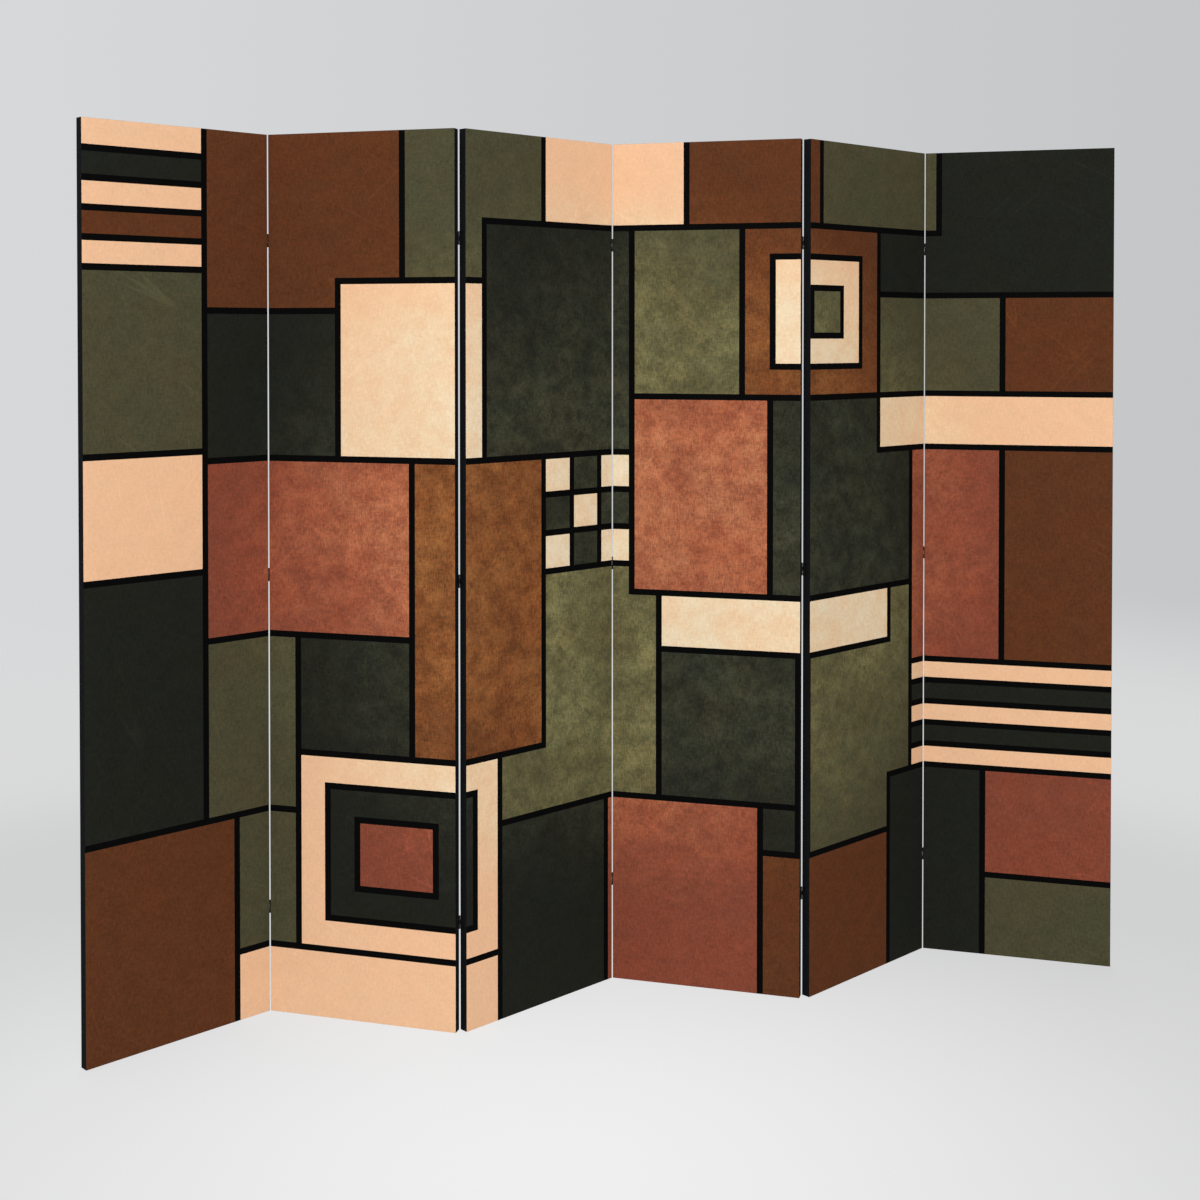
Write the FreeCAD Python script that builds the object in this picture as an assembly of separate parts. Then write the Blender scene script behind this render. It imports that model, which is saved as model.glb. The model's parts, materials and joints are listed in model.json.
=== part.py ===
import FreeCAD, Part
import math
import os

# A folding screen of flat canvas panels, hinged edge to edge and stood in a zigzag.
# Lengths are in millimetres. X runs along the screen, Y from its front to its back, Z up.

# The screen as it stands
panel_count = 6
panel_turn_deg = 30.0
panel_width = 406.0
panel_height = 1800.0
panel_thickness = 20.0

# Stretcher frame inside each panel
stile_width = 30.0
end_rail_height = 30.0
cross_rail_height = 30.0
cross_rail_count = 2

# Canvas on the front and cover on the back
canvas_thickness = 0.5
fold_radius = 0.6
hem_width = 24.0
back_cover_inset = 3.0

# Butt hinges, with their rolls drawn in flats round a round pin
roll_flats = 10
leaf_thickness = 0.45
leaf_height = 27.0
leaf_depth = 13.0
pin_radius = 0.4
pin_overhang = 0.3
running_clearance = 0.05
knuckle_count = 3
knuckle_gap = 0.15
seam_gap = 0.15
axis_offset = 0.5
hinge_inset = 216.0

# Countersunk screws, drawn in flats too
screw_head_radius = 2.1
screw_shank_radius = 1.2
screw_length = 12.0
screw_spacing = 15.0
screw_clearance = 0.05
screw_sides = 6

# Length by which a cutting tool overruns what it cuts
cut_overrun = 1.0

# Worked out from the sizes above
flat_deg = 360.0 / roll_flats
bore_radius = (pin_radius + running_clearance) / math.cos(math.radians(flat_deg / 2))
knuckle_radius = bore_radius + leaf_thickness
frame_front = canvas_thickness
frame_back = panel_thickness - 2 * canvas_thickness
hem_back = panel_thickness - canvas_thickness
plate_reach = leaf_depth - knuckle_radius
hinge_heights = [hinge_inset, panel_height / 2, panel_height - hinge_inset]
Z_AXIS = FreeCAD.Vector(0, 0, 1)


def vector(x, y, z=0):
    return FreeCAD.Vector(x, y, z)


def box(low, high):
    """A block between two opposite corners."""
    size = [h - l for l, h in zip(low, high)]
    return Part.makeBox(*size, vector(*low))


def rounded_prism(width, depth, height, radius):
    """A block on the floor whose four upright edges are rounded."""
    block = box((0, 0, 0), (width, depth, height))
    upright = [e for e in block.Edges if e.BoundBox.ZLength > height / 2]
    return block.makeFillet(radius, upright)


def stile(left):
    """One upright of the frame, in the panel's own frame."""
    if left:
        start = canvas_thickness
    else:
        start = panel_width - canvas_thickness - stile_width
    low = (start, frame_front, canvas_thickness)
    high = (start + stile_width, frame_back, panel_height - canvas_thickness)
    return box(low, high)


def rail(bottom, height):
    """A rail between the two stiles."""
    reach = canvas_thickness + stile_width
    low = (reach, frame_front, bottom)
    high = (panel_width - reach, frame_back, bottom + height)
    return box(low, high)


def end_rails():
    top = panel_height - canvas_thickness - end_rail_height
    return [rail(level, end_rail_height) for level in (canvas_thickness, top)]


def cross_rails():
    """Rails that divide the frame into equal bays."""
    bay = panel_height / (cross_rail_count + 1)
    middles = [bay * (i + 1) for i in range(cross_rail_count)]
    return [rail(middle - cross_rail_height / 2, cross_rail_height) for middle in middles]


def front_canvas():
    """The canvas over the front, turned round all four edges, with its hem on the frame's back."""
    skin = rounded_prism(panel_width, hem_back, panel_height, fold_radius)
    inside = box(
        (canvas_thickness, frame_front, canvas_thickness),
        (panel_width - canvas_thickness, frame_back, panel_height - canvas_thickness),
    )
    opening = box(
        (hem_width, frame_back - cut_overrun, hem_width),
        (panel_width - hem_width, hem_back + cut_overrun, panel_height - hem_width),
    )
    return skin.cut(inside).cut(opening)


def back_canvas():
    """The flat cover on the back, a little short of the panel's edges."""
    low = (back_cover_inset, hem_back, back_cover_inset)
    high = (panel_width - back_cover_inset, panel_thickness, panel_height - back_cover_inset)
    return box(low, high)


def polar(radius, degrees):
    angle = math.radians(degrees)
    return vector(radius * math.cos(angle), radius * math.sin(angle))


def outline(points):
    return Part.makePolygon(points + points[:1])


def rolled_profile():
    """The leaf's sheet seen from above: flat along the panel's edge, then rolled round the pin.

    The roll starts where it is tangent to the plate's outer face and stops just short of the
    plate's inner face, which leaves a seam.
    """
    seam_x = bore_radius - seam_gap
    seam_deg = 360.0 + math.degrees(math.acos(-seam_x / knuckle_radius))
    angles = [180.0 + flat_deg * i for i in range(roll_flats)]
    angles = [angle for angle in angles if angle < seam_deg - flat_deg / 2] + [seam_deg]
    outside = [polar(knuckle_radius, angle) for angle in angles]
    inside = [polar(bore_radius, angle) for angle in reversed(angles)]
    plate_end = [vector(-radius, plate_reach) for radius in (bore_radius, knuckle_radius)]
    return Part.Face(outline(outside + inside + plate_end))


def frustum_on_x(radii, places):
    """A regular prism or frustum along X, with one radius and one place for each end."""
    rings = []
    for radius, x in zip(radii, places):
        corners = [polar(radius, 360.0 * i / screw_sides) for i in range(screw_sides)]
        rings.append(outline([vector(x, corner.x, corner.y) for corner in corners]))
    return Part.makeLoft(rings, True, True)


def screw(clearance, overrun):
    """A countersunk screw along +X from the face of the leaf, or the hole that takes it."""
    head = screw_head_radius + clearance
    shank = screw_shank_radius + clearance
    end = screw_length + clearance
    cone = frustum_on_x((head, shank), (0, leaf_thickness))
    body = frustum_on_x((shank, shank), (leaf_thickness, end))
    if overrun:
        lead = frustum_on_x((head, head), (-overrun, 0))
        return lead.fuse([cone, body])
    return cone.fuse(body).removeSplitter()


def leaf_screws(clearance, overrun):
    """The screws of one leaf, in the hinge's frame, midway across its flat."""
    middle = (knuckle_radius + plate_reach) / 2
    found = []
    for height in (-screw_spacing / 2, screw_spacing / 2):
        piece = screw(clearance, overrun)
        piece.rotate(vector(0, 0), Z_AXIS, 180.0)
        piece.translate(vector(-bore_radius, middle, height))
        found.append(piece)
    return found


def leaf(outer):
    """A hinge leaf in the hinge's frame: the pin stands at the origin, the plate runs along +Y."""
    half = leaf_height / 2
    pitch = (leaf_height + knuckle_gap) / knuckle_count
    notch = knuckle_radius + knuckle_gap
    plate = box(
        (-knuckle_radius, notch, -half),
        (-bore_radius, plate_reach, half),
    )
    first = 0 if outer else 1
    rolls = []
    for row in range(first, knuckle_count, 2):
        roll = rolled_profile().extrude(vector(0, 0, pitch - knuckle_gap))
        roll.translate(vector(0, 0, row * pitch - half))
        rolls.append(roll)
    holes = leaf_screws(screw_clearance, cut_overrun)
    return plate.fuse(rolls).removeSplitter().cut(holes)


def hinge_pin():
    """The pin stands a little proud of the barrel at both ends."""
    length = leaf_height + 2 * pin_overhang
    return Part.makeCylinder(pin_radius, length, vector(0, 0, -length / 2))


def at_hinge(shape, right_edge, at_front, height):
    """Moves a shape from the hinge's frame to one edge of a panel, in the panel's frame."""
    moved = shape.copy()
    if not right_edge:
        moved = moved.mirror(vector(0, 0), vector(1, 0))
    if not at_front:
        moved = moved.mirror(vector(0, 0), vector(0, 1))
    moved.translate(vector(*axis_place(right_edge, at_front), height))
    return moved


def axis_place(right_edge, at_front):
    """Where a fold's axis stands, beside one edge of a panel."""
    x = panel_width + knuckle_radius if right_edge else -knuckle_radius
    y = -axis_offset if at_front else panel_thickness + axis_offset
    return x, y


def folds_at_front(fold):
    """Folds take turns between the front and the back of the screen."""
    return fold % 2 == 0


def panel_folds(panel):
    """The folds at a panel's two edges, as (right edge, at the front)."""
    folds = []
    if panel > 0:
        folds.append((False, folds_at_front(panel - 1)))
    if panel < panel_count - 1:
        folds.append((True, folds_at_front(panel)))
    return folds


def fitted_screws(panel, right_edge, clearance, overrun):
    """All screws, or screw holes, in one edge of a panel."""
    found = []
    for side, at_front in panel_folds(panel):
        if side != right_edge:
            continue
        for height in hinge_heights:
            for piece in leaf_screws(clearance, overrun):
                found.append(at_hinge(piece, side, at_front, height))
    return found


def plan_corners():
    """Corners of a panel seen from above, each with the radius of its rounding."""
    near = fold_radius
    right = panel_width - fold_radius
    back = hem_back - fold_radius
    rounded = [(x, y, fold_radius) for x in (near, right) for y in (near, back)]
    cover_right = panel_width - back_cover_inset
    return rounded + [(x, panel_thickness, 0) for x in (back_cover_inset, cover_right)]


def panel_placements():
    """One placement for each panel, centred on the floor below the whole screen."""
    chain = []
    for panel in range(panel_count):
        turn = panel_turn_deg if panel % 2 == 0 else -panel_turn_deg
        rotation = FreeCAD.Rotation(Z_AXIS, turn)
        start = vector(0, 0)
        if chain:
            at_front = folds_at_front(panel - 1)
            axis = chain[-1].multVec(vector(*axis_place(True, at_front)))
            start = axis - rotation.multVec(vector(*axis_place(False, at_front)))
        chain.append(FreeCAD.Placement(start, rotation))
    spans = []
    for placement in chain:
        for x, y, radius in plan_corners():
            spot = placement.multVec(vector(x, y))
            spans.append((spot.x - radius, spot.x + radius, spot.y - radius, spot.y + radius))
    left, right, front, back = zip(*spans)
    middle = vector((min(left) + max(right)) / 2, (min(front) + max(back)) / 2)
    for placement in chain:
        placement.Base = placement.Base - middle
    return chain


def place(shapes, placement):
    placed = []
    for shape in shapes:
        copy = shape.copy()
        copy.Placement = placement.multiply(copy.Placement)
        placed.append(copy)
    return placed


def write_node(name, solids):
    shape = solids[0] if len(solids) == 1 else Part.makeCompound(solids)
    shape.exportStep("parts/" + name + ".step")


def panel_nodes(panel, placement):
    """Every piece of one panel."""
    name = "panel_" + str(panel + 1) + "_"
    left_holes = fitted_screws(panel, False, screw_clearance, cut_overrun)
    right_holes = fitted_screws(panel, True, screw_clearance, cut_overrun)
    screws = fitted_screws(panel, False, 0, 0) + fitted_screws(panel, True, 0, 0)
    left, right = stile(True), stile(False)
    if left_holes:
        left = left.cut(left_holes)
    if right_holes:
        right = right.cut(right_holes)
    nodes = {
        "left_stile": [left],
        "right_stile": [right],
        "end_rails": end_rails(),
        "cross_rails": cross_rails(),
        "front_canvas": [front_canvas().cut(left_holes + right_holes)],
        "back_canvas": [back_canvas()],
        "hinge_screws": screws,
    }
    for piece, solids in nodes.items():
        write_node(name + piece, place(solids, placement))


def fold_nodes(fold, left_placement, right_placement):
    """The three hinges of one fold: leaves on the left and right panel, and their pins."""
    name = "fold_" + str(fold + 1) + "_" + str(fold + 2) + "_"
    at_front = folds_at_front(fold)
    left_leaf, right_leaf, pin = leaf(True), leaf(False), hinge_pin()
    left = [at_hinge(left_leaf, True, at_front, height) for height in hinge_heights]
    right = [at_hinge(right_leaf, False, at_front, height) for height in hinge_heights]
    pins = [at_hinge(pin, True, at_front, height) for height in hinge_heights]
    write_node(name + "left_leaves", place(left, left_placement))
    write_node(name + "right_leaves", place(right, right_placement))
    write_node(name + "pins", place(pins, left_placement))


def build():
    os.makedirs("parts", exist_ok=True)
    placements = panel_placements()
    for panel, placement in enumerate(placements):
        panel_nodes(panel, placement)
    for fold in range(panel_count - 1):
        fold_nodes(fold, placements[fold], placements[fold + 1])
        spot = placements[fold].multVec(vector(*axis_place(True, folds_at_front(fold))))
        print("fold axis", fold + 1, round(spot.x, 3), round(spot.y, 3))


build()
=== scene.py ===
import json
import math
from collections import namedtuple

import bmesh
import bpy
from mathutils import Matrix, Vector, noise


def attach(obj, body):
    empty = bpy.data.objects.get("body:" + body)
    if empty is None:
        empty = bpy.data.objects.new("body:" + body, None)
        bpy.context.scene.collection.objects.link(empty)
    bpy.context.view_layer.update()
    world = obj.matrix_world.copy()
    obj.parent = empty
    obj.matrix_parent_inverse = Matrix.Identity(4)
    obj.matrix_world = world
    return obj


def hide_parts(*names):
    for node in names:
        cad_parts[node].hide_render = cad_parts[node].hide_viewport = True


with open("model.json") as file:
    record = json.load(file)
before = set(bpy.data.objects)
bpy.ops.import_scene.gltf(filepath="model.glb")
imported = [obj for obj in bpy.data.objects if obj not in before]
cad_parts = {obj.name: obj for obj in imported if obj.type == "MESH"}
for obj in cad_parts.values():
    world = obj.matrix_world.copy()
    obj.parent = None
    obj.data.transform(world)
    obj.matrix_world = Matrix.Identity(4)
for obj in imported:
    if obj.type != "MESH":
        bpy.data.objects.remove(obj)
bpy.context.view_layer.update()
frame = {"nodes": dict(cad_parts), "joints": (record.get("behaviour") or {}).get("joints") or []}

# A folding screen of six canvas panels. Lengths are in metres, MM turns millimetres into them.
MM = 0.001

# Panels
PANEL_COUNT = 6
PANEL_TURN = math.radians(30)
PANEL_WIDTH = 406 * MM
PANEL_HEIGHT = 1800 * MM
PANEL_THICKNESS = 20 * MM

# Canvas on the front, wrapped round the frame, and the cover on the back
CANVAS_THICKNESS = 0.5 * MM
CANVAS_DEPTH = PANEL_THICKNESS - CANVAS_THICKNESS
FOLD_RADIUS = 0.6 * MM
HEM_WIDTH = 24 * MM
COVER_INSET = 3 * MM
BAR_WIDTH = 30 * MM
BAY_COUNT = 3

# Butt hinges. Their rolls have ten flats in the CAD and are drawn with more here.
LEAF_THICKNESS = 0.45 * MM
LEAF_HEIGHT = 27 * MM
LEAF_DEPTH = 13 * MM
PIN_RADIUS = 0.4 * MM
PIN_OVERHANG = 0.3 * MM
PIN_SOFT_END = 0.2 * MM
PIN_SIDES = 20
RUNNING_CLEARANCE = 0.05 * MM
ROLL_FLATS = 10
ROLL_STEPS = 26
KNUCKLE_COUNT = 3
KNUCKLE_GAP = 0.15 * MM
SEAM_GAP = 0.15 * MM
AXIS_OFFSET = 0.5 * MM
HINGE_INSET = 216 * MM
BORE_RADIUS = (PIN_RADIUS + RUNNING_CLEARANCE) / math.cos(math.pi / ROLL_FLATS)
KNUCKLE_RADIUS = BORE_RADIUS + LEAF_THICKNESS
PLATE_REACH = LEAF_DEPTH - KNUCKLE_RADIUS
HINGE_HEIGHTS = (HINGE_INSET, PANEL_HEIGHT / 2, PANEL_HEIGHT - HINGE_INSET)

# Countersunk screws with a cross recess
SCREW_HEAD_RADIUS = 2.1 * MM
SCREW_SHANK_RADIUS = 1.2 * MM
SCREW_LENGTH = 12 * MM
SCREW_SPACING = 15 * MM
SCREW_CLEARANCE = 0.05 * MM
SCREW_SIDES = 24
SHANK_SHARE = 0.8
RECESS_REACH = 1.15 * MM
RECESS_HALF = 0.28 * MM
RECESS_DEPTH = 0.4 * MM
RECESS_TAPER = 0.6

# Staples round the back cover
STAPLE_SPACING = 90 * MM
STAPLE_INSET = 8 * MM
STAPLE_CROWN = 10 * MM
STAPLE_LEG = 4 * MM
STAPLE_WIDTH = 0.9 * MM
STAPLE_THICKNESS = 0.45 * MM
STAPLE_BEND = 0.7 * MM


def linear(code):
    """A colour written as six hex digits, as the linear colour that the shader takes."""
    channels = [int(code[i:i + 2], 16) / 255 for i in (0, 2, 4)]
    return tuple(c / 12.92 if c <= 0.04045 else ((c + 0.055) / 1.055) ** 2.4 for c in channels)


# The print: plain blocks of colour with black outlines, in picture metres across all panels
PICTURE_WIDTH = PANEL_COUNT * PANEL_WIDTH
PICTURE_HEIGHT = PANEL_HEIGHT
OUTLINE_WIDTH = 13 * MM
BLEED = 30 * MM
NEST_STEP = 65 * MM
INKS = {
    "dark": linear("1c1d18"),
    "olive": linear("43402d"),
    "rust": linear("532f1b"),
    "terracotta": linear("753d2d"),
    "cream": linear("d8ac88"),
    "line": linear("050505"),
    "edge": linear("121315"),
}

Shape = namedtuple("Shape", "ink left bottom right top")
shapes = []


def block(ink, left, bottom, right, top):
    """A rectangle of the print. One that meets the picture's border runs past it."""
    left = left - BLEED if left <= 0 else left
    bottom = bottom - BLEED if bottom <= 0 else bottom
    right = right + BLEED if right >= PICTURE_WIDTH else right
    top = top + BLEED if top >= PICTURE_HEIGHT else top
    shapes.append(Shape(ink, left, bottom, right, top))


def nested(inks, left, bottom, right, top, step):
    """Rectangles inside one another."""
    for i, ink in enumerate(inks):
        block(ink, left + i * step, bottom + i * step, right - i * step, top - i * step)


def bars(inks, left, bottom, right, top):
    """A stack of equal bars."""
    rise = (top - bottom) / len(inks)
    for i, ink in enumerate(inks):
        block(ink, left, bottom + i * rise, right, bottom + (i + 1) * rise)


def checks(inks, left, bottom, right, top, count):
    """A square board of checks."""
    width = (right - left) / count
    rise = (top - bottom) / count
    for i in range(count):
        for j in range(count):
            ink = inks[(i + j) % len(inks)]
            x = left + i * width
            z = bottom + j * rise
            block(ink, x, z, x + width, z + rise)


def draw_picture():
    """The layout of the print, each block over the ones before it.

    Each call gives left, bottom, right and top in metres from the picture's lower left corner.
    """
    right, top = PICTURE_WIDTH, PICTURE_HEIGHT
    block("rust", 0.00, 0.00, 0.33, 0.42)
    block("olive", 0.33, 0.14, 0.47, 0.42)
    block("cream", 0.33, 0.00, 0.90, 0.14)
    block("olive", 0.26, 0.42, 0.47, 0.78)
    block("dark", 0.47, 0.54, 0.72, 0.78)
    nested(("cream", "dark", "terracotta"), 0.47, 0.14, 0.90, 0.54, NEST_STEP)
    block("dark", 0.00, 0.42, 0.26, 0.92)
    block("cream", 0.00, 0.92, 0.26, 1.16)
    block("terracotta", 0.26, 0.78, 0.72, 1.14)
    block("dark", 0.26, 1.14, 0.56, 1.44)
    block("olive", 0.00, 1.16, 0.26, 1.52)
    bars(("cream", "rust", "cream", "dark", "cream"), 0.00, 1.52, 0.26, top)
    block("rust", 0.26, 1.44, 0.70, top)
    block("olive", 0.70, 1.30, 1.02, top)
    block("cream", 0.56, 1.14, 0.86, 1.50)
    block("olive", 0.90, 0.40, 1.32, 0.90)
    block("dark", 0.86, 1.14, 1.26, 1.62)
    block("rust", 0.72, 0.54, 1.02, 1.14)
    block("dark", 0.90, 0.00, 1.20, 0.40)
    checks(("cream", "dark"), 1.02, 0.90, 1.26, 1.14, 3)
    block("terracotta", 1.20, 0.00, 1.54, 0.40)
    block("dark", 1.32, 0.40, 1.62, 0.72)
    block("terracotta", 1.26, 0.84, 1.56, 1.26)
    block("olive", 1.26, 1.26, 1.50, 1.62)
    block("cream", 1.02, 1.62, 1.38, top)
    block("rust", 1.38, 1.62, 1.66, top)
    block("dark", 1.56, 0.84, 1.98, 1.26)
    nested(("rust", "cream", "olive"), 1.50, 1.26, 1.86, 1.62, NEST_STEP)
    block("dark", 1.86, 1.48, right, top)
    block("olive", 1.66, 1.62, 2.06, top)
    block("rust", 1.54, 0.00, 1.90, 0.30)
    block("olive", 1.62, 0.30, 1.98, 0.84)
    block("cream", 1.32, 0.72, 1.90, 0.84)
    block("dark", 1.90, 0.00, 2.16, 0.42)
    block("terracotta", 1.98, 0.66, 2.20, 1.14)
    block("rust", 2.20, 0.66, right, 1.14)
    bars(("cream", "dark", "cream", "dark", "cream"), 1.98, 0.42, right, 0.66)
    block("olive", 1.86, 1.26, 2.20, 1.48)
    block("rust", 2.20, 1.26, right, 1.48)
    block("cream", 1.86, 1.14, right, 1.26)
    block("olive", 2.16, 0.00, right, 0.18)
    block("terracotta", 2.16, 0.18, right, 0.42)


def ink_at(u, v):
    """The print's colour at a point: the last block whose outline reaches it."""
    reach = OUTLINE_WIDTH / 2
    for ink, left, bottom, right, top in reversed(shapes):
        if left - reach < u < right + reach and bottom - reach < v < top + reach:
            inside = left + reach < u < right - reach and bottom + reach < v < top - reach
            return INKS[ink if inside else "line"]
    return INKS["dark"]


# Where each panel stands, from the folds' axes in the record

def folds_at_front(fold):
    """Folds take turns between the front and the back of the screen."""
    return fold % 2 == 0


def axis_place(right_edge, at_front):
    """Where a fold's axis stands beside one edge of a panel, in the panel's frame."""
    x = PANEL_WIDTH + KNUCKLE_RADIUS if right_edge else -KNUCKLE_RADIUS
    y = -AXIS_OFFSET if at_front else PANEL_THICKNESS + AXIS_OFFSET
    return Vector((x, y, 0))


def panel_places():
    """One matrix for each panel, from its own frame to the row frame."""
    joints = sorted(frame["joints"], key=lambda joint: joint["name"])
    axes = [Vector((joint["pos_m"][0], joint["pos_m"][1], 0)) for joint in joints]
    places = []
    for panel in range(PANEL_COUNT):
        turn = PANEL_TURN if panel % 2 == 0 else -PANEL_TURN
        rotation = Matrix.Rotation(turn, 4, "Z")
        fold = min(panel, PANEL_COUNT - 2)
        local = axis_place(fold == panel, folds_at_front(fold))
        start = axes[fold] - rotation @ local
        places.append(Matrix.Translation(start) @ rotation)
    return places


def panel_folds(panel):
    """The folds at a panel's two edges, as (right edge, at the front)."""
    found = []
    if panel > 0:
        found.append((False, folds_at_front(panel - 1)))
    if panel < PANEL_COUNT - 1:
        found.append((True, folds_at_front(panel)))
    return found


# Making meshes

SHARP_ANGLE = math.radians(35)
SLIVER = 0.002 * MM


def add_object(name, mesh):
    """A new object in the scene's collection."""
    made = bpy.data.objects.new(name, mesh)
    bpy.context.scene.collection.objects.link(made)
    return made


def mesh_of(name, bm):
    """Turns a bmesh into a mesh, shaded smooth between its sharp edges, and frees it."""
    mesh = bpy.data.meshes.new(name)
    bm.to_mesh(mesh)
    bm.free()
    mesh.shade_smooth()
    mesh.set_sharp_from_angle(angle=SHARP_ANGLE)
    return mesh


def copies(name, template, places):
    """One mesh with a copy of the template at each place."""
    joined = bmesh.new()
    for place in places:
        first_vert, first_face = len(joined.verts), len(joined.faces)
        joined.from_mesh(template)
        joined.verts.ensure_lookup_table()
        joined.faces.ensure_lookup_table()
        bmesh.ops.transform(joined, matrix=place, verts=joined.verts[first_vert:])
        if place.is_negative:
            bmesh.ops.reverse_faces(joined, faces=joined.faces[first_face:])
    return mesh_of(name, joined)


def with_modifier(mesh, kind, **settings):
    """The mesh with a modifier applied."""
    worker = add_object("worker", mesh)
    modifier = worker.modifiers.new(kind.lower(), kind)
    for key, value in settings.items():
        setattr(modifier, key, value)
    graph = bpy.context.evaluated_depsgraph_get()
    result = bpy.data.meshes.new_from_object(worker.evaluated_get(graph))
    bpy.data.objects.remove(worker)
    return result


def cut_out(mesh, cutter_mesh):
    """The mesh less a cutter, without the slivers that a cut can leave."""
    cutter = add_object("cutter", cutter_mesh)
    result = with_modifier(mesh, "BOOLEAN", object=cutter, operation="DIFFERENCE")
    bpy.data.objects.remove(cutter)
    bm = bmesh.new()
    bm.from_mesh(result)
    bmesh.ops.dissolve_degenerate(bm, dist=SLIVER, edges=bm.edges)
    return mesh_of("cut", bm)


def revolve(profile, sides):
    """A closed form turned round X from a list of (x, radius), ends on the axis."""
    bm = bmesh.new()
    rings = []
    for x, radius in profile:
        ring = []
        for i in range(sides if radius else 1):
            angle = 2 * math.pi * i / sides
            ring.append(bm.verts.new((x, radius * math.cos(angle), radius * math.sin(angle))))
        rings.append(ring)
    for near, far in zip(rings, rings[1:]):
        for i in range(sides):
            corners = [near[i % len(near)], near[(i + 1) % len(near)]]
            corners += [far[(i + 1) % len(far)], far[i % len(far)]]
            bm.faces.new(list(dict.fromkeys(corners)))
    bmesh.ops.recalc_face_normals(bm, faces=bm.faces)
    return bm


# Canvas over the front of a panel

ROUNDING_STEPS = 3
RETURN_STEPS = 4
GRID_STEP = 32 * MM
LEAST_STEP = 0.01 * MM
SLACK = 0.35 * MM
RIPPLE = 0.12 * MM

# Ripples to a metre across and up the canvas, and how far they shift from panel to panel
RIPPLES_ACROSS = 9
RIPPLES_UP = 5
RIPPLE_SHIFT = 7.3

# Powers that flatten the slack's curve in the middle of a bay
SLACK_POWER_ACROSS = 0.7
SLACK_POWER_UP = 0.5


def edge_lines(size):
    """Grid lines near both ends of a side, close together where its edges are rounded."""
    angles = [math.radians(45) * i / ROUNDING_STEPS for i in range(ROUNDING_STEPS + 1)]
    near = [FOLD_RADIUS * (1 - math.tan(angle)) for angle in angles]
    return near + [size - place for place in near]


def even_lines(size, step):
    """Grid lines at an even step between the two ends of a side."""
    count = max(2, round(size / step))
    return [size * i / count for i in range(1, count)]


def sorted_lines(places, size):
    """Sorted grid lines in a side's reach, without near doubles."""
    kept = []
    for place in sorted(min(max(place, 0), size) for place in places):
        if not kept or place - kept[-1] > LEAST_STEP:
            kept.append(place)
    return kept


def side_lines(size, step, others):
    """All grid lines along one side: its rounded ends, an even grid and other given places."""
    return sorted_lines(edge_lines(size) + even_lines(size, step) + others, size)


def print_lines(start, size, edges):
    """Where the print's outlines begin and end along one side of a panel."""
    found = []
    for shape in shapes:
        for edge in edges:
            for side in (-OUTLINE_WIDTH / 2, OUTLINE_WIDTH / 2):
                place = getattr(shape, edge) + side - start
                if FOLD_RADIUS < place < size - FOLD_RADIUS:
                    found.append(place)
    return found


def rounded(point):
    """Moves a point of the wrapped box's surface onto its rounded edges."""
    size = (PANEL_WIDTH, CANVAS_DEPTH, PANEL_HEIGHT)
    inner = Vector([min(max(p, FOLD_RADIUS), s - FOLD_RADIUS) for p, s in zip(point, size)])
    return inner + (point - inner).normalized() * FOLD_RADIUS


def bay_depth(x, z):
    """How far a cloth gives way between the frame's bars: 0 on a bar, 1 in a bay's middle."""
    across = (x - BAR_WIDTH) / (PANEL_WIDTH - 2 * BAR_WIDTH)
    bay_height = PANEL_HEIGHT / BAY_COUNT
    up = (z % bay_height - BAR_WIDTH / 2) / (bay_height - BAR_WIDTH)
    if not (0 < across < 1 and 0 < up < 1):
        return 0
    curve_across = math.sin(math.pi * across) ** SLACK_POWER_ACROSS
    curve_up = math.sin(math.pi * up) ** SLACK_POWER_UP
    return curve_across * curve_up


def front_slack(panel, x, z):
    """The canvas is tight, with faint unevenness between the bars."""
    depth = bay_depth(x, z)
    wave = noise.noise(Vector((x * RIPPLES_ACROSS, z * RIPPLES_UP, panel * RIPPLE_SHIFT)))
    return depth * (SLACK + RIPPLE * wave)


def net_side(bm, layers, across, up, surface):
    """One side of the wrapped canvas, a grid over two sets of lines.

    surface(a, b) gives the point, its place in the picture and the colour at a place on it,
    or None where the cloth is cut away.
    """
    picture_layer, ink_layer = layers
    grid = [[bm.verts.new(surface(a, b)[0]) for a in across] for b in up]
    for j in range(len(up) - 1):
        for i in range(len(across) - 1):
            middle = surface((across[i] + across[i + 1]) / 2, (up[j] + up[j + 1]) / 2)
            if middle[2] is None:
                continue
            corners = ((i, j), (i + 1, j), (i + 1, j + 1), (i, j + 1))
            face = bm.faces.new([grid[b][a] for a, b in corners])
            for loop, (a, b) in zip(face.loops, corners):
                loop[picture_layer] = surface(across[a], up[b])[1]
                loop[ink_layer] = (*middle[2], 1)


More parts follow.
